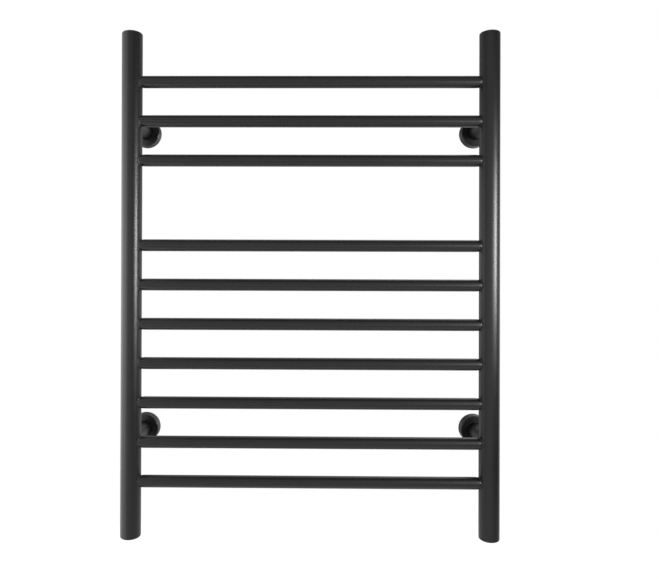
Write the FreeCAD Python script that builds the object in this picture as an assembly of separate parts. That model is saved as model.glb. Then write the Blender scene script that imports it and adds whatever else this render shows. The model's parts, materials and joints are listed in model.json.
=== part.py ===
import FreeCAD, Part
import math
import os

# Ladder towel warmer that hangs on a wall, in millimetres.
# X runs along the crossbars, +Y points into the wall and +Z is up. The wall is the plane y = 0, and the
# origin is the centre of the four wall plates. A distance "off the wall" runs along -Y.

# Posts and crossbars
RACK_WIDTH = 600.0            # over the two posts
POST_LENGTH = 800.0           # over the end caps
POST_RADIUS = 16.0
POST_WALL = 1.5
BAR_RADIUS = 9.5
BAR_WALL = 1.2
UPPER_BARS = 3
LOWER_BARS = 7
TOWEL_GAP = 135.0             # centre to centre between the two groups
TOP_MARGIN = 77.5             # post end to the centre of the top bar
BOTTOM_MARGIN = 87.5          # centre of the bottom bar to the post end
WALL_TO_POST = 91.0           # wall to the posts' centre plane

# End caps
CAP_HEAD = 3.0
CAP_EDGE_RADIUS = 2.0
SPIGOT_LENGTH = 10.0
SPIGOT_WALL = 1.5
SPIGOT_LEAD_IN = 0.6

# Stand-offs and wall plates
STANDOFF_RADIUS = 12.5
STANDOFF_WALL = 3.0
PLATE_THICKNESS = 4.0
PLATE_EDGE_RADIUS = 0.5
WALL_SCREW_RADIUS = 2.6       # clearance hole for a 5 mm countersunk screw
SCREW_HEAD_RADIUS = 4.2
HEAD_MARGIN = 0.55            # plate left on each side of a screw head
BOSS_LENGTH = 14.0
BOSS_LEAD_IN = 0.6
BOSS_CLEARANCE = 0.05         # boss in the stand-off's bore, radial
LEAD_WAY_RADIUS = 6.0         # way through the plate for the supply lead

# Set screws that lock the stand-offs on the bosses
SET_SCREW_RADIUS = 2.5
SET_SCREW_OFFSET = 5.0        # plate face to the screw's axis
SET_SCREW_RECESS = 0.3        # below the stand-off's surface
POINT_RADIUS = 1.75
POINT_LENGTH = 1.25           # depth that the point reaches into the boss
POINT_CLEARANCE = 0.1
HEX_SOCKET = 2.5              # across flats
HEX_DEPTH = 1.6

# Rosettes that slide along the stand-offs and hide the wall screws
ROSETTE_DEPTH = 17.0
ROSETTE_WALL = 1.5
ROSETTE_EDGE_RADIUS = 1.5
ROSETTE_MOUTH_RADIUS = 0.5
ROSETTE_GAP = 1.0             # around the wall plate
SLIDE_CLEARANCE = 0.15        # hub on the stand-off, radial
HUB_LENGTH = 7.0
HUB_WALL = 1.45               # behind the ring's groove
RING_THICKNESS = 2.0
RING_CLEARANCE = 0.05         # ring on the stand-off, radial
GROOVE_WIDTH = 2.4

# Heating cable and what it is joined to, inside the left post
CABLE_RADIUS = 2.5
CABLE_LIFT = 0.05             # above the floor of each bar's bore
CABLE_ENTRY = 8.0             # depth in the terminal block
CUTOUT_RADIUS = 3.5
CUTOUT_LENGTH = 18.0
CUTOUT_EDGE_RADIUS = 1.0
LEG_CLEARANCE = 1.0           # cut-out to the first leg of the cable
BLOCK_HEIGHT = 22.0
BLOCK_EDGE_RADIUS = 1.0
TERMINAL_SCREW_RADIUS = 1.5
TERMINAL_SCREW_LENGTH = 6.0
SUPPLY_CORE_RADIUS = 3.2      # way into the block for the supply lead
SUPPLY_CORE_ANGLE = 40.0      # degrees from +X towards +Y
SUPPLY_CORE_REACH = 8.5       # post's axis to the way's axis
BUSHING_RADIUS = 4.0          # hole for an 8 mm supply lead
BUSHING_LENGTH = 8.0
BUSHING_FLANGE = 1.2
BUSHING_LIP = 2.0             # flange beyond the plate's lead way
BUSHING_EDGE_RADIUS = 0.5

# Earth stud inside the left post's bottom cap
STUD_RADIUS = 2.0
STUD_LENGTH = 8.0
LUG_THICKNESS = 1.0
LUG_RADIUS = 4.0
LUG_REACH = 9.0
LUG_TAIL_WIDTH = 4.0
NUT_ACROSS_FLATS = 7.0
NUT_HEIGHT = 3.2

# What follows from the sizes above
POST_BORE = POST_RADIUS - POST_WALL
BAR_BORE = BAR_RADIUS - BAR_WALL
POST_X = RACK_WIDTH / 2 - POST_RADIUS
POST_Y = -WALL_TO_POST
# The bars of both groups share one pitch, which spreads them over the post between its margins.
BAR_PITCH = (POST_LENGTH - TOP_MARGIN - BOTTOM_MARGIN - TOWEL_GAP) / (UPPER_BARS + LOWER_BARS - 2)
STANDOFF_BORE = STANDOFF_RADIUS - STANDOFF_WALL
BOSS_RADIUS = STANDOFF_BORE - BOSS_CLEARANCE
SCREW_REACH = STANDOFF_RADIUS + HEAD_MARGIN + SCREW_HEAD_RADIUS
PLATE_RADIUS = SCREW_REACH + SCREW_HEAD_RADIUS + HEAD_MARGIN
ROSETTE_BORE = PLATE_RADIUS + ROSETTE_GAP
ROSETTE_RADIUS = ROSETTE_BORE + ROSETTE_WALL
HUB_BORE = STANDOFF_RADIUS + SLIDE_CLEARANCE
RING_BORE = STANDOFF_RADIUS + RING_CLEARANCE
GROOVE_RADIUS = RING_BORE + RING_THICKNESS
SET_SCREW_HEIGHT = PLATE_THICKNESS + SET_SCREW_OFFSET
CABLE_BEND = POST_BORE - CABLE_RADIUS
CABLE_DROP = BAR_BORE - CABLE_RADIUS - CABLE_LIFT
RETURN_X = -POST_X - CABLE_RADIUS - CUTOUT_RADIUS - LEG_CLEARANCE

UP = FreeCAD.Vector(0, 0, 1)
DOWN = FreeCAD.Vector(0, 0, -1)
RIGHT = FreeCAD.Vector(1, 0, 0)
TO_WALL = FreeCAD.Vector(0, 1, 0)
OFF_WALL = FreeCAD.Vector(0, -1, 0)


def bar_drops():
    """Distances from the posts' top end down to each crossbar, from the top bar."""
    drops = [TOP_MARGIN + i * BAR_PITCH for i in range(UPPER_BARS)]
    first_low = drops[-1] + TOWEL_GAP
    return drops + [first_low + i * BAR_PITCH for i in range(LOWER_BARS)]


DROPS = bar_drops()
# The brackets stand behind the second bar from the top and the second from the bottom.
POST_TOP = (DROPS[1] + DROPS[-2]) / 2
POST_BOTTOM = POST_TOP - POST_LENGTH
BAR_HEIGHTS = [POST_TOP - drop for drop in DROPS]
BRACKETS = {
    "upper_left": (-POST_X, BAR_HEIGHTS[1]),
    "upper_right": (POST_X, BAR_HEIGHTS[1]),
    "lower_left": (-POST_X, BAR_HEIGHTS[-2]),
    "lower_right": (POST_X, BAR_HEIGHTS[-2]),
}
INLET = "lower_left"
BLOCK_BOTTOM = POST_BOTTOM + CAP_HEAD + SPIGOT_LENGTH
BLOCK_TOP = BLOCK_BOTTOM + BLOCK_HEIGHT


def corner_arc(before, corner, after, radius):
    """The arc of a radius that rounds a corner, and its two ends on the legs."""
    back = (before - corner).normalize()
    ahead = (after - corner).normalize()
    half_angle = back.getAngle(ahead) / 2
    leg = radius / math.tan(half_angle)
    start = corner + back * leg
    end = corner + ahead * leg
    centre = corner + (back + ahead).normalize() * (radius / math.sin(half_angle))
    middle = centre + (corner - centre).normalize() * radius
    return Part.Arc(start, middle, end).toShape(), start, end


def joined(points, radii, closed):
    """A wire of straight runs through points, with each corner rounded by its radius where it has one."""
    count = len(points)
    arrive = list(points)
    leave = list(points)
    arcs = {}
    for i in range(count):
        if radii[i] > 0:
            neighbours = points[i - 1], points[(i + 1) % count]
            arcs[i], arrive[i], leave[i] = corner_arc(neighbours[0], points[i], neighbours[1], radii[i])
    edges = []
    for i in range(count if closed else count - 1):
        following = (i + 1) % count
        edges.append(Part.LineSegment(leave[i], arrive[following]).toShape())
        if following in arcs:
            edges.append(arcs[following])
    return Part.Wire(edges)


def turned(profile, base, direction):
    """A solid of revolution about the line from base along direction.

    The profile goes round its outline as (radius, height) or (radius, height, corner radius)."""
    points = [FreeCAD.Vector(corner[0], 0, corner[1]) for corner in profile]
    radii = [corner[2] if len(corner) > 2 else 0 for corner in profile]
    solid = Part.Face(joined(points, radii, True)).revolve(FreeCAD.Vector(0, 0, 0), UP, 360)
    solid.Placement = FreeCAD.Placement(base, FreeCAD.Rotation(UP, direction))
    return solid


def tube(radius, bore, length, base, direction):
    outside = Part.makeCylinder(radius, length, base, direction)
    return outside.cut(Part.makeCylinder(bore, length, base, direction))


def hexagon(across_flats, height, base, direction):
    """A hexagonal prism on base, along direction."""
    reach = across_flats / math.sqrt(3)
    angles = [math.radians(60 * i) for i in range(7)]
    corners = [FreeCAD.Vector(reach * math.cos(a), reach * math.sin(a), 0) for a in angles]
    prism = Part.Face(Part.makePolygon(corners)).extrude(UP * height)
    prism.Placement = FreeCAD.Placement(base, FreeCAD.Rotation(UP, direction))
    return prism


def post_core(side):
    """The whole cylinder that a post's tube fills, which the bars and stand-offs are coped to."""
    base = FreeCAD.Vector(side * POST_X, POST_Y, POST_BOTTOM)
    return Part.makeCylinder(POST_RADIUS, POST_LENGTH, base, UP)


def make_post(side):
    """A post's tube, with a hole into each bar, and in the left one a hole for the supply lead."""
    base = FreeCAD.Vector(side * POST_X, POST_Y, POST_BOTTOM + CAP_HEAD)
    post = tube(POST_RADIUS, POST_BORE, POST_LENGTH - 2 * CAP_HEAD, base, UP)
    for height in BAR_HEIGHTS:
        axis = FreeCAD.Vector(side * POST_X, POST_Y, height)
        post = post.cut(Part.makeCylinder(BAR_BORE, 2 * POST_RADIUS, axis, RIGHT * -side))
    inlet_x, inlet_z = BRACKETS[INLET]
    if inlet_x * side > 0:
        axis = FreeCAD.Vector(inlet_x, POST_Y, inlet_z)
        post = post.cut(Part.makeCylinder(LEAD_WAY_RADIUS, 2 * POST_RADIUS, axis, TO_WALL))
    return post


def make_crossbar(height):
    """A bar's tube, with both ends coped to the posts."""
    base = FreeCAD.Vector(-POST_X, POST_Y, height)
    bar = tube(BAR_RADIUS, BAR_BORE, 2 * POST_X, base, RIGHT)
    return bar.cut(post_core(-1)).cut(post_core(1))


def make_cap(side, end):
    """A turned cap with a hollow spigot that fills the post's bore."""
    outer = POST_TOP if end > 0 else POST_BOTTOM
    spigot_end = CAP_HEAD + SPIGOT_LENGTH
    profile = [
        (0, 0),
        (POST_RADIUS, 0, CAP_EDGE_RADIUS),
        (POST_RADIUS, CAP_HEAD),
        (POST_BORE, CAP_HEAD),
        (POST_BORE, spigot_end - SPIGOT_LEAD_IN),
        (POST_BORE - SPIGOT_LEAD_IN, spigot_end),
        (POST_BORE - SPIGOT_WALL, spigot_end),
        (POST_BORE - SPIGOT_WALL, CAP_HEAD),
        (0, CAP_HEAD),
    ]
    return turned(profile, FreeCAD.Vector(side * POST_X, POST_Y, outer), UP * -end)


def make_standoff(x, z):
    """A tube from the wall plate to the post, coped to the post, with the set screw's hole below."""
    base = FreeCAD.Vector(x, -PLATE_THICKNESS, z)
    length = WALL_TO_POST - PLATE_THICKNESS
    standoff = tube(STANDOFF_RADIUS, STANDOFF_BORE, length, base, OFF_WALL)
    axis = FreeCAD.Vector(x, -SET_SCREW_HEIGHT, z)
    standoff = standoff.cut(Part.makeCylinder(SET_SCREW_RADIUS, 2 * STANDOFF_RADIUS, axis, DOWN))
    return standoff.cut(post_core(math.copysign(1, x)))


def make_wall_plate(x, z):
    """A turned plate with a boss for the stand-off, two countersunk holes and the set screw's seat."""
    profile = [
        (LEAD_WAY_RADIUS + BUSHING_LIP, 0),
        (PLATE_RADIUS, 0),
        (PLATE_RADIUS, PLATE_THICKNESS, PLATE_EDGE_RADIUS),
        (BOSS_RADIUS, PLATE_THICKNESS),
        (BOSS_RADIUS, PLATE_THICKNESS + BOSS_LENGTH - BOSS_LEAD_IN),
        (BOSS_RADIUS - BOSS_LEAD_IN, PLATE_THICKNESS + BOSS_LENGTH),
        (LEAD_WAY_RADIUS, PLATE_THICKNESS + BOSS_LENGTH),
        (LEAD_WAY_RADIUS, BUSHING_FLANGE),
        (LEAD_WAY_RADIUS + BUSHING_LIP, BUSHING_FLANGE),
    ]
    plate = turned(profile, FreeCAD.Vector(x, 0, z), OFF_WALL)
    sink = SCREW_HEAD_RADIUS - WALL_SCREW_RADIUS
    for way in (-1, 1):
        hole = FreeCAD.Vector(x, 0, z + way * SCREW_REACH)
        seat = hole + OFF_WALL * (PLATE_THICKNESS - sink)
        plate = plate.cut(Part.makeCylinder(WALL_SCREW_RADIUS, PLATE_THICKNESS, hole, OFF_WALL))
        plate = plate.cut(Part.makeCone(WALL_SCREW_RADIUS, SCREW_HEAD_RADIUS, sink, seat, OFF_WALL))
    depth = BOSS_CLEARANCE + POINT_LENGTH
    point = FreeCAD.Vector(x, -SET_SCREW_HEIGHT, z - STANDOFF_BORE + depth)
    return plate.cut(Part.makeCylinder(POINT_RADIUS + POINT_CLEARANCE, STANDOFF_BORE, point, DOWN))


def make_set_screw(x, z):
    """A set screw in the underside of a stand-off, with its point in the boss."""
    depth = BOSS_CLEARANCE + POINT_LENGTH
    body = STANDOFF_WALL - SET_SCREW_RECESS
    profile = [
        (0, 0),
        (POINT_RADIUS, 0),
        (POINT_RADIUS, depth),
        (SET_SCREW_RADIUS, depth),
        (SET_SCREW_RADIUS, depth + body),
        (0, depth + body),
    ]
    point = FreeCAD.Vector(x, -SET_SCREW_HEIGHT, z - STANDOFF_BORE + depth)
    socket = point + DOWN * (depth + body - HEX_DEPTH)
    return turned(profile, point, DOWN).cut(hexagon(HEX_SOCKET, HEX_DEPTH, socket, DOWN))


def make_rosette(x, z):
    """A round cover, open to the wall, with a grooved hub that rides on the stand-off."""
    groove = ROSETTE_DEPTH - HUB_LENGTH / 2
    hub_radius = GROOVE_RADIUS + HUB_WALL
    profile = [
        (ROSETTE_RADIUS, 0),
        (ROSETTE_RADIUS, ROSETTE_DEPTH, ROSETTE_EDGE_RADIUS),
        (HUB_BORE, ROSETTE_DEPTH, ROSETTE_MOUTH_RADIUS),
        (HUB_BORE, groove + GROOVE_WIDTH / 2),
        (GROOVE_RADIUS, groove + GROOVE_WIDTH / 2),
        (GROOVE_RADIUS, groove - GROOVE_WIDTH / 2),
        (HUB_BORE, groove - GROOVE_WIDTH / 2),
        (HUB_BORE, ROSETTE_DEPTH - HUB_LENGTH),
        (hub_radius, ROSETTE_DEPTH - HUB_LENGTH),
        (hub_radius, ROSETTE_DEPTH - ROSETTE_WALL),
        (ROSETTE_BORE, ROSETTE_DEPTH - ROSETTE_WALL),
        (ROSETTE_BORE, 0),
    ]
    return turned(profile, FreeCAD.Vector(x, 0, z), OFF_WALL)


def make_rosette_ring(x, z):
    """The rubber ring in a rosette's groove, which grips the stand-off."""
    centre = FreeCAD.Vector(x, -(ROSETTE_DEPTH - HUB_LENGTH / 2), z)
    section = RING_THICKNESS / 2
    return Part.makeTorus(RING_BORE + section, section, centre, OFF_WALL)


def make_inlet_bushing():
    """The bushing where the supply lead comes out of the wall, flush with the back of its plate."""
    x, z = BRACKETS[INLET]
    profile = [
        (BUSHING_RADIUS, 0),
        (LEAD_WAY_RADIUS + BUSHING_LIP, 0),
        (LEAD_WAY_RADIUS + BUSHING_LIP, BUSHING_FLANGE),
        (LEAD_WAY_RADIUS, BUSHING_FLANGE),
        (LEAD_WAY_RADIUS, BUSHING_LENGTH, BUSHING_EDGE_RADIUS),
        (BUSHING_RADIUS, BUSHING_LENGTH),
    ]
    return turned(profile, FreeCAD.Vector(x, 0, z), OFF_WALL)


def cable_route():
    """The corners of the heating cable's route, all in the posts' centre plane.

    It leaves the terminal block, climbs from bar to bar, crosses the top one back to the left post and
    returns down that post to the cut-out. A pair of bars is needed to come back, so an odd one on top
    stays unheated."""
    heated = sorted(BAR_HEIGHTS)[: len(BAR_HEIGHTS) // 2 * 2]
    route = [FreeCAD.Vector(-POST_X, POST_Y, BLOCK_TOP - CABLE_ENTRY)]
    for i, height in enumerate(heated):
        near = -POST_X if i % 2 == 0 else POST_X
        far = RETURN_X if i == len(heated) - 1 else -near
        route.append(FreeCAD.Vector(near, POST_Y, height - CABLE_DROP))
        route.append(FreeCAD.Vector(far, POST_Y, height - CABLE_DROP))
    route.append(FreeCAD.Vector(RETURN_X, POST_Y, BLOCK_TOP + CUTOUT_LENGTH))
    return route


def make_heating_cable():
    """One long cable, swept along straight runs and tangent bends."""
    route = cable_route()
    radii = [0] + [CABLE_BEND] * (len(route) - 2) + [0]
    section = Part.Wire(Part.makeCircle(CABLE_RADIUS, route[0], UP))
    return joined(route, radii, False).makePipeShell([section], True, False)


def make_terminal_block():
    """A round block that fills the post's bore and stands on the bottom cap's spigot."""
    profile = [
        (0, 0),
        (POST_BORE, 0),
        (POST_BORE, BLOCK_HEIGHT, BLOCK_EDGE_RADIUS),
        (0, BLOCK_HEIGHT),
    ]
    block = turned(profile, FreeCAD.Vector(-POST_X, POST_Y, BLOCK_BOTTOM), UP)
    ends = FreeCAD.Vector(0, 0, BLOCK_TOP - CABLE_ENTRY)
    for x in (-POST_X, RETURN_X):
        way = FreeCAD.Vector(x, POST_Y, ends.z)
        block = block.cut(Part.makeCylinder(CABLE_RADIUS, 2 * CABLE_ENTRY, way, UP))
        clamp = way + UP * (CABLE_ENTRY / 2)
        block = block.cut(Part.makeCylinder(TERMINAL_SCREW_RADIUS, 2 * POST_BORE, clamp, OFF_WALL))
    angle = math.radians(SUPPLY_CORE_ANGLE)
    core = FreeCAD.Vector(SUPPLY_CORE_REACH * math.cos(angle) - POST_X,
                          SUPPLY_CORE_REACH * math.sin(angle) + POST_Y, ends.z)
    return block.cut(Part.makeCylinder(SUPPLY_CORE_RADIUS, 2 * CABLE_ENTRY, core, UP))


def make_terminal_screws():
    """The two screws that clamp the cable's ends in the block."""
    height = BLOCK_TOP - CABLE_ENTRY / 2
    screws = []
    for x in (-POST_X, RETURN_X):
        tip = FreeCAD.Vector(x, POST_Y - CABLE_RADIUS, height)
        screws.append(Part.makeCylinder(TERMINAL_SCREW_RADIUS, TERMINAL_SCREW_LENGTH, tip, OFF_WALL))
    return Part.makeCompound(screws)


def make_thermal_cutout():
    """The capsule in the cable's return leg that opens the circuit if the rack overheats."""
    profile = [
        (0, 0),
        (CUTOUT_RADIUS, 0, CUTOUT_EDGE_RADIUS),
        (CUTOUT_RADIUS, CUTOUT_LENGTH, CUTOUT_EDGE_RADIUS),
        (0, CUTOUT_LENGTH),
    ]
    return turned(profile, FreeCAD.Vector(RETURN_X, POST_Y, BLOCK_TOP), UP)


def earth_parts():
    """The stud welded inside the left bottom cap, the lug on it and the nut that holds the lug."""
    floor = FreeCAD.Vector(-POST_X, POST_Y, POST_BOTTOM + CAP_HEAD)
    stud = Part.makeCylinder(STUD_RADIUS, STUD_LENGTH, floor, UP)
    eye = Part.makeCylinder(LUG_RADIUS, LUG_THICKNESS, floor, UP)
    tail_corner = floor + FreeCAD.Vector(0, -LUG_TAIL_WIDTH / 2, 0)
    tail = Part.makeBox(LUG_REACH, LUG_TAIL_WIDTH, LUG_THICKNESS, tail_corner)
    lug = eye.fuse(tail).cut(stud).removeSplitter()
    nut = hexagon(NUT_ACROSS_FLATS, NUT_HEIGHT, floor + UP * LUG_THICKNESS, UP).cut(stud)
    return {"earth_stud": stud, "earth_lug": lug, "earth_nut": nut}


def rack_parts():
    """Posts, bars and end caps."""
    parts = {}
    for name, side in (("left", -1), ("right", 1)):
        parts[f"{name}_post"] = make_post(side)
        parts[f"{name}_top_cap"] = make_cap(side, 1)
        parts[f"{name}_bottom_cap"] = make_cap(side, -1)
    for i, height in enumerate(BAR_HEIGHTS):
        parts[f"crossbar_{i + 1:02d}"] = make_crossbar(height)
    return parts


def bracket_parts():
    """What joins the rack to the wall at its four corners."""
    parts = {}
    for name, (x, z) in BRACKETS.items():
        parts[f"{name}_standoff"] = make_standoff(x, z)
        parts[f"{name}_wall_plate"] = make_wall_plate(x, z)
        parts[f"{name}_rosette"] = make_rosette(x, z)
        parts[f"{name}_rosette_ring"] = make_rosette_ring(x, z)
    parts["set_screws"] = Part.makeCompound([make_set_screw(x, z) for x, z in BRACKETS.values()])
    return parts


def electric_parts():
    """What heats the rack, inside its tubes."""
    parts = {
        "heating_cable": make_heating_cable(),
        "terminal_block": make_terminal_block(),
        "terminal_screws": make_terminal_screws(),
        "thermal_cutout": make_thermal_cutout(),
        "inlet_bushing": make_inlet_bushing(),
    }
    parts.update(earth_parts())
    return parts


os.makedirs("parts", exist_ok=True)
for part_name, shape in {**rack_parts(), **bracket_parts(), **electric_parts()}.items():
    shape.exportStep(f"parts/{part_name}.step")
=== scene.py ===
import json
import logging
import math
from dataclasses import dataclass, field
from enum import Enum

import bmesh
import bpy
from mathutils import Matrix, Vector


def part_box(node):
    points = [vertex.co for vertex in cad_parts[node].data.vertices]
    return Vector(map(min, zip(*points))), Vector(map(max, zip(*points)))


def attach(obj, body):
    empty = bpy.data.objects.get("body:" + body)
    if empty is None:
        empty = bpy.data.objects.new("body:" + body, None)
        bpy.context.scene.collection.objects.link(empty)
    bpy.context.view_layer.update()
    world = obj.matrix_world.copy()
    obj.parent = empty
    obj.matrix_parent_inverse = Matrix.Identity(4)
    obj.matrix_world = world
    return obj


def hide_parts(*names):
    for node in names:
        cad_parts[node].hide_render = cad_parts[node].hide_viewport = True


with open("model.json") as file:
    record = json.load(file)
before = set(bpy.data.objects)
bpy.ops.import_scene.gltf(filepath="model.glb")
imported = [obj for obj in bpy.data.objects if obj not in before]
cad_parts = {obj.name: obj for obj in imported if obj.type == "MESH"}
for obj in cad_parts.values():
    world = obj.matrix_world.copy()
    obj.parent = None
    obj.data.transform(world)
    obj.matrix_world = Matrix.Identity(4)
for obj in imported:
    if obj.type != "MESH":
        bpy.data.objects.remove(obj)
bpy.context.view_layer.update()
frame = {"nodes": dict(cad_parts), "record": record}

# A ladder towel warmer of round steel tube in matte black powder coat, which hangs on a wall.
# Metres: X runs along the crossbars, +Y points into the wall and +Z is up. The wall is the plane y = 0.

MM = 0.001
# Points of a mesh that are this close are made one.
MERGE = 0.001 * MM
WHITE = "#ffffff"
# A noise pattern's values crowd round a half, so what follows it changes between these two.
NOISE_LOW = 0.3
NOISE_HIGH = 0.7
# A curve of brightness: pairs of a place and the brightness there.
Curve = tuple[tuple[float, float], ...]
log = logging.getLogger("towel_warmer")


class Corner(Enum):
    """The four brackets, seen from the room."""

    UPPER_LEFT = "upper_left"
    UPPER_RIGHT = "upper_right"
    LOWER_LEFT = "lower_left"
    LOWER_RIGHT = "lower_right"


def linear(colour: str) -> tuple[float, float, float, float]:
    """Turns an sRGB hex colour to the linear values that nodes take.

    Args:
        colour: six hex digits after a hash.

    Returns:
        Linear red, green and blue, and an alpha of one.
    """
    channels = [int(colour[i:i + 2], 16) / 255 for i in (1, 3, 5)]
    red, green, blue = (c / 12.92 if c <= 0.04045 else ((c + 0.055) / 1.055) ** 2.4 for c in channels)
    return red, green, blue, 1.0


def add_node(tree: bpy.types.NodeTree, kind: str, inputs: dict | None = None, **settings) -> bpy.types.Node:
    """Adds one shader node with its settings and links.

    Args:
        tree: the node tree it goes in.
        kind: the node's type, without the ShaderNode in front.
        inputs: socket name or number to a value, or to the output that feeds it.
        settings: the node's own properties; ramp takes a list of (position, colour) stops.

    Returns:
        The new node.
    """
    node = tree.nodes.new("ShaderNode" + kind)
    ramp = settings.pop("ramp", None)
    for name, value in settings.items():
        setattr(node, name, value)
    if ramp:
        stops = node.color_ramp.elements
        while len(stops) < len(ramp):
            stops.new(0.5)
        for stop, (position, colour) in zip(stops, ramp):
            stop.position = position
            stop.color = colour
    for socket, value in (inputs or {}).items():
        if isinstance(value, bpy.types.NodeSocket):
            tree.links.new(value, node.inputs[socket])
        else:
            node.inputs[socket].default_value = value
    return node


def new_material(name: str) -> tuple[bpy.types.Material, bpy.types.NodeTree]:
    """Starts a material with an empty node tree.

    Args:
        name: the material's name.

    Returns:
        The material and its tree.
    """
    material = bpy.data.materials.new(name)
    material.use_nodes = True
    material.node_tree.nodes.clear()
    return material, material.node_tree


def grey(level: float) -> tuple[float, float, float, float]:
    """Gives a linear grey as a colour."""
    return level, level, level, 1.0


def shade(colour: str, factor: float) -> tuple[float, float, float, float]:
    """Makes a hex colour lighter or darker.

    Args:
        colour: six hex digits after a hash.
        factor: what its linear values are multiplied by.

    Returns:
        The linear colour.
    """
    red, green, blue, alpha = linear(colour)
    return red * factor, green * factor, blue * factor, alpha


def middle(node: str) -> Vector:
    """Gives the middle of a CAD node's box at rest."""
    low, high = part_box(node)
    return (low + high) / 2


def half_size(node: str) -> Vector:
    """Gives half the size of a CAD node's box along each axis."""
    low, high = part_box(node)
    return (high - low) / 2


def dress(node: str, material: bpy.types.Material) -> None:
    """Gives a CAD node its material.

    Args:
        node: the node's name.
        material: what its slots take.
    """
    for slot in frame["nodes"][node].material_slots:
        slot.material = material
    log.info("dressed %s in %s", node, material.name)


def spun(section: list[tuple[float, float]], steps: int, closed: bool = False) -> bmesh.types.BMesh:
    """Spins a section a full turn round the X axis.

    Args:
        section: pairs of (place along X, distance from the axis).
        steps: how many faces go round.
        closed: whether the section's last point joins its first.

    Returns:
        The mesh, which the caller frees.
    """
    mesh = bmesh.new()
    start = [mesh.verts.new((along, 0, radius)) for along, radius in section]
    following = start[1:] + (start[:1] if closed else [])
    edges = [mesh.edges.new(pair) for pair in zip(start, following)]
    bmesh.ops.spin(mesh, geom=start + edges, cent=(0, 0, 0), axis=(1, 0, 0), angle=2 * math.pi,
                   steps=steps, use_merge=True)
    return mesh


def new_piece(name: str, mesh: bmesh.types.BMesh, finish: bpy.types.Material) -> bpy.types.Object:
    """Makes an object of a finished mesh, and frees the mesh.

    Args:
        name: the object's name.
        mesh: its shape, at its place.
        finish: its material.

    Returns:
        The new object.
    """
    data = bpy.data.meshes.new(name)
    mesh.to_mesh(data)
    mesh.free()
    data.materials.append(finish)
    piece = bpy.data.objects.new(name, data)
    bpy.context.collection.objects.link(piece)
    return piece


@dataclass(frozen=True)
class PowderCoat:
    """Matte black polyester powder, sprayed on steel and baked.

    The powder melts to an even film with a fine pebble, so the highlights are soft, with a faint sparkle
    close up, and the film is a little thicker and duller in broad clouds along the tube.
    """

    name: str
    colour: str = "#0f0f0f"
    roughness: float = 0.34
    pebble_mm: float = 0.9
    pebble_depth_mm: float = 0.006
    cloud_mm: float = 70.0
    cloud_tone: float = 0.08
    cloud_roughness: float = 0.02

    def material(self) -> bpy.types.Material:
        """Builds the coat.

        Returns:
            The new material.
        """
        material, tree = new_material(self.name)
        place = add_node(tree, "TexCoord").outputs["Object"]
        cloud = add_node(tree, "TexNoise", {
            "Vector": place, "Scale": 1 / (self.cloud_mm * MM), "Detail": 2.0})
        pebble = add_node(tree, "TexNoise", {
            "Vector": place, "Scale": 1 / (self.pebble_mm * MM), "Detail": 2.0})
        tone = add_node(tree, "ValToRGB", {"Fac": cloud.outputs["Fac"]}, ramp=[
            (NOISE_LOW, shade(self.colour, 1 - self.cloud_tone)),
            (NOISE_HIGH, shade(self.colour, 1 + self.cloud_tone))])
        rough = add_node(tree, "MapRange", {
            "Value": cloud.outputs["Fac"], "From Min": NOISE_LOW, "From Max": NOISE_HIGH,
            "To Min": self.roughness - self.cloud_roughness,
            "To Max": self.roughness + self.cloud_roughness})
        bump = add_node(tree, "Bump", {
            "Height": pebble.outputs["Fac"], "Strength": 1.0, "Distance": self.pebble_depth_mm * MM})
        shader = add_node(tree, "BsdfPrincipled", {
            "Base Color": tone.outputs["Color"], "Roughness": rough.outputs["Result"],
            "Normal": bump.outputs["Normal"]})
        add_node(tree, "OutputMaterial", {"Surface": shader.outputs["BSDF"]})
        return material


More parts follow.
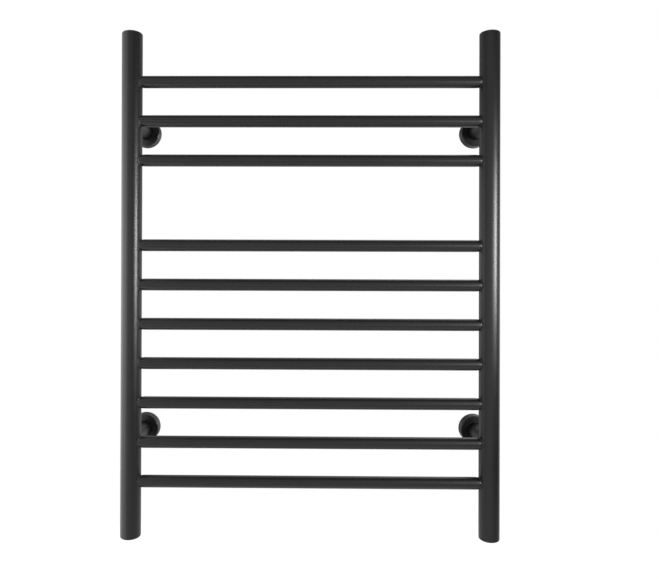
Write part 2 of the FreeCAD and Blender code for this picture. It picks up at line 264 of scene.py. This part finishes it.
@dataclass(frozen=True)
class TurnedZinc:
    """Bright zinc plate on a steel disc turned in a lathe.

    The tool leaves fine rings round the axis, which draw the highlight out across them, and the plating
    has a faint blue-grey bloom. The rings are drawn about three times as coarse as real ones to show. Over
    the bloom's low and high the colour goes from dark to light, and the roughness falls.
    """

    name: str = "bright zinc plate on turned steel"
    light: str = "#c3c6c9"
    dark: str = "#a4a8ac"
    roughness: float = 0.32
    ring_mm: float = 0.6
    ring_depth_mm: float = 0.01
    bloom_mm: float = 9.0
    bloom_low: float = 0.35
    bloom_high: float = 0.65
    bloom_rise: float = 0.06
    bloom_fall: float = 0.04

    def material(self) -> bpy.types.Material:
        """Builds the plate's finish, with its rings round whichever bracket's axis is nearest.

        The brackets stand mirrored in X and in Z, so one axis gives all four.

        Returns:
            The new material.
        """
        axis = middle(f"{Corner.UPPER_RIGHT.value}_wall_plate")
        material, tree = new_material(self.name)
        place = add_node(tree, "TexCoord").outputs["Object"]
        parts = add_node(tree, "SeparateXYZ", {"Vector": place})
        offsets = {}
        for letter, centre in (("X", axis.x), ("Z", axis.z)):
            side = add_node(tree, "Math", {0: parts.outputs[letter]}, operation="ABSOLUTE")
            apart = add_node(tree, "Math", {0: side.outputs[0], 1: centre}, operation="SUBTRACT")
            offsets[letter] = apart.outputs[0]
        flat = add_node(tree, "CombineXYZ", offsets)
        reach = add_node(tree, "VectorMath", {0: flat.outputs[0]}, operation="LENGTH")
        turn = add_node(tree, "Math", {0: reach.outputs["Value"], 1: 2 * math.pi / (self.ring_mm * MM)},
                        operation="MULTIPLY")
        ring = add_node(tree, "Math", {0: turn.outputs[0]}, operation="SINE")
        bump = add_node(tree, "Bump", {
            "Height": ring.outputs[0], "Strength": 1.0, "Distance": self.ring_depth_mm * MM / 2})
        bloom = add_node(tree, "TexNoise", {
            "Vector": place, "Scale": 1 / (self.bloom_mm * MM), "Detail": 3.0})
        tone = add_node(tree, "ValToRGB", {"Fac": bloom.outputs["Fac"]}, ramp=[
            (self.bloom_low, linear(self.dark)), (self.bloom_high, linear(self.light))])
        rough = add_node(tree, "MapRange", {
            "Value": bloom.outputs["Fac"], "From Min": self.bloom_low, "From Max": self.bloom_high,
            "To Min": self.roughness + self.bloom_rise, "To Max": self.roughness - self.bloom_fall})
        shader = add_node(tree, "BsdfPrincipled", {
            "Base Color": tone.outputs["Color"], "Metallic": 1.0, "Roughness": rough.outputs["Result"],
            "Normal": bump.outputs["Normal"]})
        add_node(tree, "OutputMaterial", {"Surface": shader.outputs["BSDF"]})
        return material


@dataclass(frozen=True)
class BareMetal:
    """A small turned or drawn metal piece: a clean colour under a fine scratch grain along one axis.

    The grain's dark and light are what the colour is multiplied by. The stretch pulls the grain out along
    the axis where it is small.
    """

    name: str
    colour: str
    roughness: float
    grain_mm: float = 0.4
    grain_depth_mm: float = 0.006
    grain_dark: float = 0.88
    grain_light: float = 1.06
    stretch: tuple[float, float, float] = (1.0, 1.0, 0.08)

    def material(self) -> bpy.types.Material:
        """Builds the metal.

        Returns:
            The new material.
        """
        material, tree = new_material(self.name)
        place = add_node(tree, "TexCoord").outputs["Object"]
        pulled = add_node(tree, "Mapping", {"Vector": place, "Scale": self.stretch})
        grain = add_node(tree, "TexNoise", {
            "Vector": pulled.outputs["Vector"], "Scale": 1 / (self.grain_mm * MM), "Detail": 3.0})
        tone = add_node(tree, "ValToRGB", {"Fac": grain.outputs["Fac"]}, ramp=[
            (NOISE_LOW, shade(self.colour, self.grain_dark)),
            (NOISE_HIGH, shade(self.colour, self.grain_light))])
        bump = add_node(tree, "Bump", {
            "Height": grain.outputs["Fac"], "Strength": 1.0, "Distance": self.grain_depth_mm * MM})
        shader = add_node(tree, "BsdfPrincipled", {
            "Base Color": tone.outputs["Color"], "Metallic": 1.0, "Roughness": self.roughness,
            "Normal": bump.outputs["Normal"]})
        add_node(tree, "OutputMaterial", {"Surface": shader.outputs["BSDF"]})
        return material


@dataclass(frozen=True)
class Moulded:
    """Moulded rubber, silicone or plastic: its colour all the way through, with the mould's fine grain.

    The colour drifts a little over broad clouds, whose pattern runs at drift_scale times the grain's rate.
    """

    name: str
    colour: str
    roughness: float
    grain_mm: float
    grain_depth_mm: float
    drift: float = 0.06
    drift_scale: float = 0.05
    ior: float = 1.5

    def material(self) -> bpy.types.Material:
        """Builds the moulding's finish.

        Returns:
            The new material.
        """
        material, tree = new_material(self.name)
        place = add_node(tree, "TexCoord").outputs["Object"]
        grain = add_node(tree, "TexNoise", {
            "Vector": place, "Scale": 1 / (self.grain_mm * MM), "Detail": 2.0})
        broad = add_node(tree, "TexNoise", {
            "Vector": place, "Scale": self.drift_scale / (self.grain_mm * MM), "Detail": 2.0})
        tone = add_node(tree, "ValToRGB", {"Fac": broad.outputs["Fac"]}, ramp=[
            (NOISE_LOW, shade(self.colour, 1 - self.drift)),
            (NOISE_HIGH, shade(self.colour, 1 + self.drift))])
        bump = add_node(tree, "Bump", {
            "Height": grain.outputs["Fac"], "Strength": 1.0, "Distance": self.grain_depth_mm * MM})
        shader = add_node(tree, "BsdfPrincipled", {
            "Base Color": tone.outputs["Color"], "Roughness": self.roughness, "IOR": self.ior,
            "Normal": bump.outputs["Normal"]})
        add_node(tree, "OutputMaterial", {"Surface": shader.outputs["BSDF"]})
        return material


@dataclass(frozen=True)
class Camera:
    """A level view from the middle of the rack, about a metre away, through a moderately wide lens.

    The lens is in millimetres, the shifts are shares of the picture's width, and the turns are in radians.
    """

    place: tuple[float, float, float] = (-0.0065, -1.0062, 0.0248)
    lens: float = 31.49
    shift_x: float = 0.0446
    shift_y: float = -0.0379
    pitch: float = 0.003
    roll: float = -0.003
    yaw: float = 0.01

    def build(self) -> None:
        """Makes the camera and sets it as the scene's own."""
        data = bpy.data.cameras.new("camera")
        data.lens = self.lens
        data.shift_x = self.shift_x
        data.shift_y = self.shift_y
        camera = bpy.data.objects.new("camera", data)
        turn = Matrix.Rotation(self.roll, 4, "Y") @ Matrix.Rotation(self.yaw, 4, "Z")
        # An unturned camera looks down, and the quarter turn makes it look level into the wall.
        turn = turn @ Matrix.Rotation(self.pitch, 4, "X") @ Matrix.Rotation(math.radians(90), 4, "X")
        camera.matrix_world = Matrix.Translation(self.place) @ turn
        bpy.context.collection.objects.link(camera)
        bpy.context.scene.camera = camera


@dataclass(frozen=True)
class SoftBox:
    """A rectangular studio light, with an even face or one that fades along its height.

    The brightness is the face's own, whatever its size, and the spread is in degrees. A fade's places run
    from 0 to 1 along the height of the face, and it gives shares of the brightness.
    """

    name: str
    place: tuple[float, float, float]
    aim: tuple[float, float, float]
    width: float
    height: float
    brightness: float
    spread: float = 180.0
    fade: Curve = ()

    def dim(self, data: bpy.types.Light) -> None:
        """Fades the face towards its ends, as a scrim in front of it does.

        Args:
            data: the light.
        """
        data.use_nodes = True
        tree = data.node_tree
        tree.nodes.clear()
        spot = add_node(tree, "NewGeometry").outputs["Parametric"]
        height = add_node(tree, "SeparateXYZ", {"Vector": spot}).outputs["Y"]
        share = add_node(tree, "ValToRGB", {"Fac": height},
                         ramp=[(way, grey(level)) for way, level in self.fade])
        glow = add_node(tree, "Emission", {"Color": share.outputs["Color"], "Strength": 1.0})
        add_node(tree, "OutputLight", {"Surface": glow.outputs["Emission"]})

    def build(self) -> None:
        """Hangs the light and turns it to its aim."""
        data = bpy.data.lights.new(self.name, "AREA")
        data.shape = "RECTANGLE"
        data.size = self.width
        data.size_y = self.height
        data.energy = self.brightness * math.pi * self.width * self.height
        data.spread = math.radians(self.spread)
        if self.fade:
            self.dim(data)
        light = bpy.data.objects.new(self.name, data)
        light.location = self.place
        light.rotation_euler = (Vector(self.aim) - Vector(self.place)).to_track_quat("-Z", "Y").to_euler()
        light.visible_camera = False
        bpy.context.collection.objects.link(light)


@dataclass(frozen=True)
class Studio:
    """A pale floor in a white room, with two softboxes on the right and a tall panel on the left.

    The room's brightness in a direction is the product of four curves. They go by the direction's part
    upwards, its part back through the wall, its part to the right, and, in the rear half of the room, the
    product of those last two. The floor is part glow and part matte paper: the camera sees more of the
    glow, and reflections in the coat see less of it.
    """

    floor_height: float = -1.2
    floor_radius: float = 1.92
    floor_sides: int = 96
    floor_colour: str = "#f2f2f2"
    floor_glow: float = 1.16
    glow_seen: float = 0.85
    glow_mirrored: float = 0.62
    key: SoftBox = SoftBox(
        "right softbox", place=(0.815, -0.61, 0.09), aim=(-0.4, -0.09, 0.05),
        width=0.42, height=0.33, brightness=8.2, spread=99.0)
    fill: SoftBox = SoftBox(
        "right fill", place=(0.55, -0.85, 0.03), aim=(0.25, -0.1, 0.0),
        width=0.2, height=0.25, brightness=2.8)
    panel: SoftBox = SoftBox(
        "left panel", place=(-0.38, -0.135, 0.0), aim=(-0.284, -0.135, 0.0),
        width=0.18, height=1.1, brightness=2.2,
        fade=((0.0, 0.3), (0.12, 0.47), (0.3, 0.75), (0.45, 1.0),
              (0.55, 1.0), (0.7, 0.8), (0.88, 0.47), (1.0, 0.35)))
    by_height: Curve = (
        (-1.0, 1.0), (-0.34, 0.7), (-0.15, 1.1), (0.0, 1.6), (0.15, 1.05), (0.33, 0.26),
        (0.48, 1.05), (0.7, 1.2), (0.88, 0.7), (0.95, 0.32), (1.0, 0.22))
    by_depth: Curve = (
        (-1.0, 1.0), (-0.3, 0.6), (0.03, 0.5), (0.15, 1.1), (0.4, 1.7), (0.6, 1.8),
        (0.82, 1.3), (0.93, 0.32), (1.0, 0.4))
    by_side: Curve = (
        (-1.0, 1.1), (-0.3, 1.12), (-0.1, 1.02), (0.0, 1.0), (0.15, 0.9), (0.3, 0.85),
        (0.45, 0.55), (0.6, 0.36), (1.0, 0.3))
    by_rear_side: Curve = (
        (-1.0, 0.5), (-0.4, 0.5), (-0.25, 0.42), (-0.1, 0.5), (0.0, 0.8), (0.2, 1.5),
        (0.35, 1.6), (0.5, 1.4), (1.0, 1.4))

    def level(self, tree: bpy.types.NodeTree, value: bpy.types.NodeSocket, stops: Curve) -> bpy.types.Node:
        """Adds a curve of brightness against one axis of the direction.

        Args:
            tree: the world's node tree.
            value: the direction's part along the axis, from -1 to 1.
            stops: pairs of that part and the brightness there.

        Returns:
            The ramp's node.
        """
        share = add_node(tree, "MapRange", {"Value": value, "From Min": -1.0, "From Max": 1.0})
        return add_node(tree, "ValToRGB", {"Fac": share.outputs["Result"]},
                        ramp=[((position + 1) / 2, grey(bright)) for position, bright in stops])

    def world(self) -> None:
        """Fills the surroundings: plain white to the camera, and the curves' room to every other ray."""
        world = bpy.data.worlds.new("studio")
        world.use_nodes = True
        bpy.context.scene.world = world
        tree = world.node_tree
        tree.nodes.clear()
        direction = add_node(tree, "TexCoord").outputs["Generated"]
        parts = add_node(tree, "SeparateXYZ", {"Vector": direction})
        height = self.level(tree, parts.outputs["Z"], self.by_height)
        depth = self.level(tree, parts.outputs["Y"], self.by_depth)
        side = self.level(tree, parts.outputs["X"], self.by_side)
        behind = add_node(tree, "Math", {0: parts.outputs["Y"], 1: 0.0}, operation="MAXIMUM")
        across = add_node(tree, "Math", {0: parts.outputs["X"], 1: behind.outputs[0]}, operation="MULTIPLY")
        rear = self.level(tree, across.outputs[0], self.by_rear_side)
        level = height
        for share in (depth, side, rear):
            level = add_node(tree, "Math", {0: level.outputs[0], 1: share.outputs[0]}, operation="MULTIPLY")
        path = add_node(tree, "LightPath")
        room = add_node(tree, "Background", {"Color": linear(WHITE), "Strength": level.outputs[0]})
        seen = add_node(tree, "Background", {"Color": linear(WHITE), "Strength": 1.0})
        mix = add_node(tree, "MixShader", {
            0: path.outputs["Is Camera Ray"], 1: room.outputs[0], 2: seen.outputs[0]})
        add_node(tree, "OutputWorld", {"Surface": mix.outputs[0]})

    def paper(self) -> bpy.types.Material:
        """Builds the floor's white paper, which keeps a faint shadow.

        Returns:
            The new material.
        """
        material, tree = new_material("matte white studio paper")
        path = add_node(tree, "LightPath")
        share = 0.0
        glowing = {"Camera": self.glow_seen, "Glossy": self.glow_mirrored, "Transmission": self.glow_seen}
        for kind, part in glowing.items():
            ray = path.outputs[f"Is {kind} Ray"]
            seen = add_node(tree, "Math", {0: ray, 1: part}, operation="MULTIPLY")
            share = add_node(tree, "Math", {0: share, 1: seen.outputs[0]}, operation="MAXIMUM").outputs[0]
        matte = add_node(tree, "BsdfDiffuse", {"Color": linear(self.floor_colour)})
        glow = add_node(tree, "Emission", {"Color": linear(WHITE), "Strength": self.floor_glow})
        mix = add_node(tree, "MixShader", {0: share, 1: matte.outputs[0], 2: glow.outputs[0]})
        add_node(tree, "OutputMaterial", {"Surface": mix.outputs[0]})
        return material

    def floor(self) -> None:
        """Lays a round floor."""
        mesh = bmesh.new()
        bmesh.ops.create_circle(mesh, cap_ends=True, segments=self.floor_sides, radius=self.floor_radius,
                                matrix=Matrix.Translation((0, 0, self.floor_height)))
        new_piece("floor", mesh, self.paper())

    def build(self) -> None:
        """Builds the whole studio."""
        self.world()
        self.floor()
        self.key.build()
        self.fill.build()
        self.panel.build()


@dataclass(frozen=True)
class Weld:
    """A fillet weld round a tube that meets a post, dressed smooth before coating.

    The post's axis is upright. The tube's axis crosses it at a height, and points left, right or back. The
    leg is the fillet's width on both, and the root is how far its rims sink below their surfaces.
    """

    name: str
    post_x: float
    post_y: float
    height: float
    heading: Vector
    post_radius: float
    tube_radius: float
    leg: float
    steps: int = 64
    rows: int = 6
    root: float = 0.3 * MM

    def section(self) -> list[tuple[float, float]]:
        """Gives the fillet's section as pairs of (way along its curve, distance from the tube's axis)."""
        ways = [row / self.rows for row in range(self.rows + 1)]
        return [(way, self.tube_radius + self.leg * way * way) for way in ways]

    def seat(self, spread: float, radius: float) -> float:
        """Finds how far from the post's axis its surface lies, along the tube.

        Args:
            spread: the sine of the angle round the tube, zero at its top and bottom.
            radius: distance from the tube's axis.

        Returns:
            The distance from the post's axis.
        """
        return math.sqrt(self.post_radius ** 2 - (radius * spread) ** 2)

    def place(self, way: float, spread: float) -> float:
        """Finds a point's distance along the tube, on a curve from the tube's side down to the post.

        Args:
            way: how far along the curve the point is, from 0 to 1.
            spread: the sine of the angle round the tube, zero at its top and bottom.

        Returns:
            The distance from the post's axis.
        """
        corner = self.seat(spread, self.tube_radius)
        foot = self.seat(spread, self.tube_radius + self.leg)
        return (1 - way) ** 2 * (corner + self.leg) + 2 * way * (1 - way) * corner + way ** 2 * foot

    def close(self, mesh: bmesh.types.BMesh) -> None:
        """Carries both rims below the surfaces of tube and post, and joins them there.

        Args:
            mesh: the fillet's face, along the X axis.
        """
        inner = self.tube_radius - self.root
        rims = [edge for edge in mesh.edges if edge.is_boundary]
        sunk = bmesh.ops.extrude_edge_only(mesh, edges=rims)
        for vert in (item for item in sunk["geom"] if isinstance(item, bmesh.types.BMVert)):
            radius = math.hypot(vert.co.y, vert.co.z)
            vert.co.y *= inner / radius
            vert.co.z *= inner / radius
            vert.co.x = self.seat(vert.co.y / inner, inner) - self.root
        bmesh.ops.remove_doubles(mesh, verts=mesh.verts, dist=MERGE)

    def build(self, coat: bpy.types.Material) -> bpy.types.Object:
        """Spins the section round the tube, fits it to the post and closes it below the surfaces.

        Args:
            coat: its finish.

        Returns:
            The new piece, at its place.
        """
        mesh = spun(self.section(), self.steps)
        for vert in mesh.verts:
            spread = vert.co.y / math.hypot(vert.co.y, vert.co.z)
            vert.co.x = self.place(vert.co.x, spread)
        bmesh.ops.recalc_face_normals(mesh, faces=mesh.faces)
        # An open fillet has no inside to go by, so its faces are made to look away from the post.
        if sum(face.normal.x for face in mesh.faces) < 0:
            bmesh.ops.reverse_faces(mesh, faces=mesh.faces)
        self.close(mesh)
        side = self.heading.cross(Vector((0, 0, 1)))
        turn = Matrix((self.heading, -side, (0, 0, 1))).transposed().to_4x4()
        bmesh.ops.transform(mesh, verts=mesh.verts,
                            matrix=Matrix.Translation((self.post_x, self.post_y, self.height)) @ turn)
        piece = new_piece(self.name, mesh, coat)
        piece.data.shade_smooth()
        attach(piece, "rack")
        return piece


@dataclass(frozen=True)
class NeckedBar:
    """A crossbar whose ends are drawn in a little where they meet the posts, as a swaged tube's are.

    The bar runs along X between two upright posts. Its radius shrinks by the draw over the length beside
    each of them, gently at first and steepest at the post, where the weld covers its last bit.
    """

    name: str
    post_x: tuple[float, float]
    post_y: float
    height: float
    post_radius: float
    radius: float
    bore: float
    draw: float
    length: float = 9.0 * MM
    steepness: int = 3
    beyond: float = 1.0 * MM
    rows: int = 10
    steps: int = 96

    def section(self) -> list[tuple[float, float]]:
        """Gives the closed section at the bar's top, along the outside and back through the bore.

        A row just beyond each draw keeps the long straight run's shading out of it.

        Returns:
            Pairs of (place along X from the bar's middle, distance from its axis).
        """
        left, right = self.post_x
        post = (right - left) / 2
        seat = post - self.post_radius
        outer = [(seat - self.length * way, self.radius - self.draw * (1 - way) ** self.steepness)
                 for way in (row / self.rows for row in range(self.rows + 1))]
        outer.append((seat - self.length - self.beyond, self.radius))
        mirrored = [(-along, radius) for along, radius in outer]
        return mirrored + outer[::-1] + [(seat, self.bore), (-seat, self.bore)]

    def dip(self, spread: float, radius: float) -> float:
        """Finds how far the post's side has curved away from the bar's end.

        Args:
            spread: the sine of the angle round the bar, zero at its top and bottom.
            radius: distance from the bar's axis. All of the outside moves as its end does.

        Returns:
            The distance along the bar.
        """
        across = spread * min(radius, self.radius - self.draw)
        return self.post_radius - math.sqrt(self.post_radius ** 2 - across ** 2)

    def build(self, node: str, coat: bpy.types.Material) -> bpy.types.Object:
        """Spins the section round the bar's axis and fits its ends to the posts.

        Args:
            node: the CAD bar that it stands for.
            coat: its finish.

        Returns:
            The new piece, at its place.
        """
        mesh = spun(self.section(), self.steps, closed=True)
        for vert in mesh.verts:
            radius = math.hypot(vert.co.y, vert.co.z)
            vert.co.x += math.copysign(self.dip(vert.co.y / radius, radius), vert.co.x)
        bmesh.ops.translate(mesh, verts=mesh.verts, vec=(sum(self.post_x) / 2, self.post_y, self.height))
        bmesh.ops.recalc_face_normals(mesh, faces=mesh.faces)
        piece = new_piece(self.name, mesh, coat)
        piece.data.shade_smooth()
        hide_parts(node)
        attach(piece, "rack")
        return piece


@dataclass
class Rack:
    """Two posts with their end caps, and the crossbars and stand-offs that are welded to them.

    The neck is how much the bars' radius shrinks at the posts, and a weld's leg is its width. wall_facing
    is the least cosine, between a face's normal and the line to the post's axis, that makes the face a part
    of the round wall.
    """

    coat: PowderCoat = field(default_factory=lambda: PowderCoat("matte black powder coat"))
    weld_coat: PowderCoat = field(default_factory=lambda: PowderCoat(
        "matte black powder coat over welds", roughness=0.52))
    neck: float = 0.68 * MM
    weld_leg: float = 1.7 * MM
    standoff_weld_leg: float = 0.7 * MM
    wall_facing: float = 0.95

    def bars(self) -> list[str]:
        """Names the crossbars' CAD nodes, from the top down."""
        return sorted(name for name in frame["nodes"] if name.startswith("crossbar_"))

    def welds(self) -> list[Weld]:
        """Lists the weld at each end of every bar and at each stand-off.

        Returns:
            The welds of the left post and then those of the right one.
        """
        welds = []
        for side, heading in (("left", Vector((1, 0, 0))), ("right", Vector((-1, 0, 0)))):
            post = middle(f"{side}_post")
            post_radius = half_size(f"{side}_post").x
            for bar in self.bars():
                welds.append(Weld(f"{bar}_{side}_weld", post.x, post.y, middle(bar).z, heading, post_radius,
                                  half_size(bar).z - self.neck, self.weld_leg))
            corners = [corner.value for corner in Corner if corner.value.endswith(side)]
            for standoff in (f"{corner}_standoff" for corner in corners):
                welds.append(Weld(f"{standoff}_weld", post.x, post.y, middle(standoff).z, Vector((0, 1, 0)),
                                  post_radius, half_size(standoff).z, self.standoff_weld_leg))
        return welds

    def true_tube(self, node: str, coat: bpy.types.Material) -> bpy.types.Object:
        """Copies a post, merges its seams and makes its walls shade as a true round.

        The post's long thin triangles start at its joints' holes, where their normals lean a few degrees,
        and a highlight that runs down the tube wavers there. The copy's walls get their normals from the
        tube's axis, and its ends and holes stay flat.

        Args:
            node: the post.
            coat: its finish.

        Returns:
            The copy, which stands for the post.
        """
        axis = middle(node)
        data = bpy.data.objects[node].data.copy()
        data.name = f"{node}_tube"
        mesh = bmesh.new()
        mesh.from_mesh(data)
        bmesh.ops.remove_doubles(mesh, verts=mesh.verts, dist=MERGE)
        mesh.to_mesh(data)
        mesh.free()
        normals = [Vector()] * len(data.loops)
        for face in data.polygons:
            for corner in face.loop_indices:
                spot = data.vertices[data.loops[corner].vertex_index].co
                out = Vector((spot.x - axis.x, spot.y - axis.y, 0)).normalized()
                facing = face.normal.dot(out)
                on_wall = abs(facing) > self.wall_facing
                normals[corner] = math.copysign(1, facing) * out if on_wall else face.normal.copy()
        data.normals_split_custom_set(normals)
        data.materials.clear()
        data.materials.append(coat)
        piece = bpy.data.objects.new(data.name, data)
        bpy.context.collection.objects.link(piece)
        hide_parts(node)
        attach(piece, "rack")
        return piece

    def necked_bar(self, node: str) -> NeckedBar:
        """Measures a bar and the posts that it joins.

        Args:
            node: the CAD bar.

        Returns:
            The necked bar that stands for it.
        """
        left, right = middle("left_post"), middle("right_post")
        height = middle(node).z
        bore = min(math.hypot(vertex.co.y - left.y, vertex.co.z - height)
                   for vertex in bpy.data.objects[node].data.vertices)
        return NeckedBar(f"{node}_tube", (left.x, right.x), left.y, height, half_size("left_post").x,
                         half_size(node).z, bore, self.neck)

    def build(self) -> None:
        """Coats the tubes and lays the welds."""
        coat, weld_coat = self.coat.material(), self.weld_coat.material()
        for side in ("left", "right"):
            log.info("rounded %s", self.true_tube(f"{side}_post", coat).name)
            dress(f"{side}_top_cap", coat)
            dress(f"{side}_bottom_cap", coat)
        for bar in self.bars():
            log.info("necked %s", self.necked_bar(bar).build(bar, coat).name)
        for corner in Corner:
            dress(f"{corner.value}_standoff", coat)
        for weld in self.welds():
            log.info("laid %s", weld.build(weld_coat).name)


@dataclass
class Brackets:
    """Wall plates, sliding covers with their rubber rings, and the set screws."""

    cover: PowderCoat = field(default_factory=lambda: PowderCoat(
        "satin black powder coat", colour="#111111", roughness=0.3, pebble_mm=0.7, cloud_mm=25.0))
    plate: TurnedZinc = field(default_factory=TurnedZinc)
    screw: BareMetal = field(default_factory=lambda: BareMetal(
        "stainless steel set screw", "#8f8f8f", roughness=0.34, stretch=(1.0, 1.0, 1.0)))
    ring: Moulded = field(default_factory=lambda: Moulded(
        "moulded nitrile rubber ring", "#191919", roughness=0.62, grain_mm=0.5, grain_depth_mm=0.01))

    def build(self) -> None:
        """Dresses the four brackets."""
        cover, plate, ring = self.cover.material(), self.plate.material(), self.ring.material()
        for corner in Corner:
            dress(f"{corner.value}_rosette", cover)
            dress(f"{corner.value}_wall_plate", plate)
            dress(f"{corner.value}_rosette_ring", ring)
        dress("set_screws", self.screw.material())


@dataclass
class Heating:
    """The heating cable and its connections inside the left post, and the bushing in the wall plate."""

    silicone: Moulded = field(default_factory=lambda: Moulded(
        "extruded red silicone cable", "#9e3f30", roughness=0.5, grain_mm=1.2, grain_depth_mm=0.01,
        ior=1.41))
    block: Moulded = field(default_factory=lambda: Moulded(
        "moulded natural polyamide block", "#e0ddd3", roughness=0.45, grain_mm=0.6, grain_depth_mm=0.008,
        drift=0.03, ior=1.53))
    cutout: Moulded = field(default_factory=lambda: Moulded(
        "moulded black polyester cut-out", "#3a3a3a", roughness=0.4, grain_mm=0.5, grain_depth_mm=0.006,
        ior=1.57))
    bushing: Moulded = field(default_factory=lambda: Moulded(
        "moulded black rubber bushing", "#1c1c1c", roughness=0.6, grain_mm=0.5, grain_depth_mm=0.01))
    steel: BareMetal = field(default_factory=lambda: BareMetal(
        "stainless steel stud", "#9b9b9b", roughness=0.3))
    brass: BareMetal = field(default_factory=lambda: BareMetal(
        "turned brass", "#cdb078", roughness=0.3))

    def build(self) -> None:
        """Dresses the electric pieces by the slots that the record gives them."""
        finishes = {
            "cable_silicone": self.silicone.material(),
            "block_plastic": self.block.material(),
            "cutout_plastic": self.cutout.material(),
            "ring_rubber": self.bushing.material(),
            "screw_steel": self.steel.material(),
            "brass": self.brass.material(),
        }
        slots = {piece["node"]: piece["material_slot"] for piece in frame["record"]["subparts"]}
        for node in ("heating_cable", "terminal_block", "terminal_screws", "thermal_cutout",
                     "inlet_bushing", "earth_stud", "earth_lug", "earth_nut"):
            dress(node, finishes[slots[node]])


def main() -> None:
    """Sets up the studio, then builds the rack, its brackets and its heating."""
    logging.basicConfig(level=logging.INFO)
    bpy.context.scene.view_settings.view_transform = "Standard"
    Camera().build()
    Studio().build()
    Rack().build()
    Brackets().build()
    Heating().build()


if __name__ == "__main__":
    main()
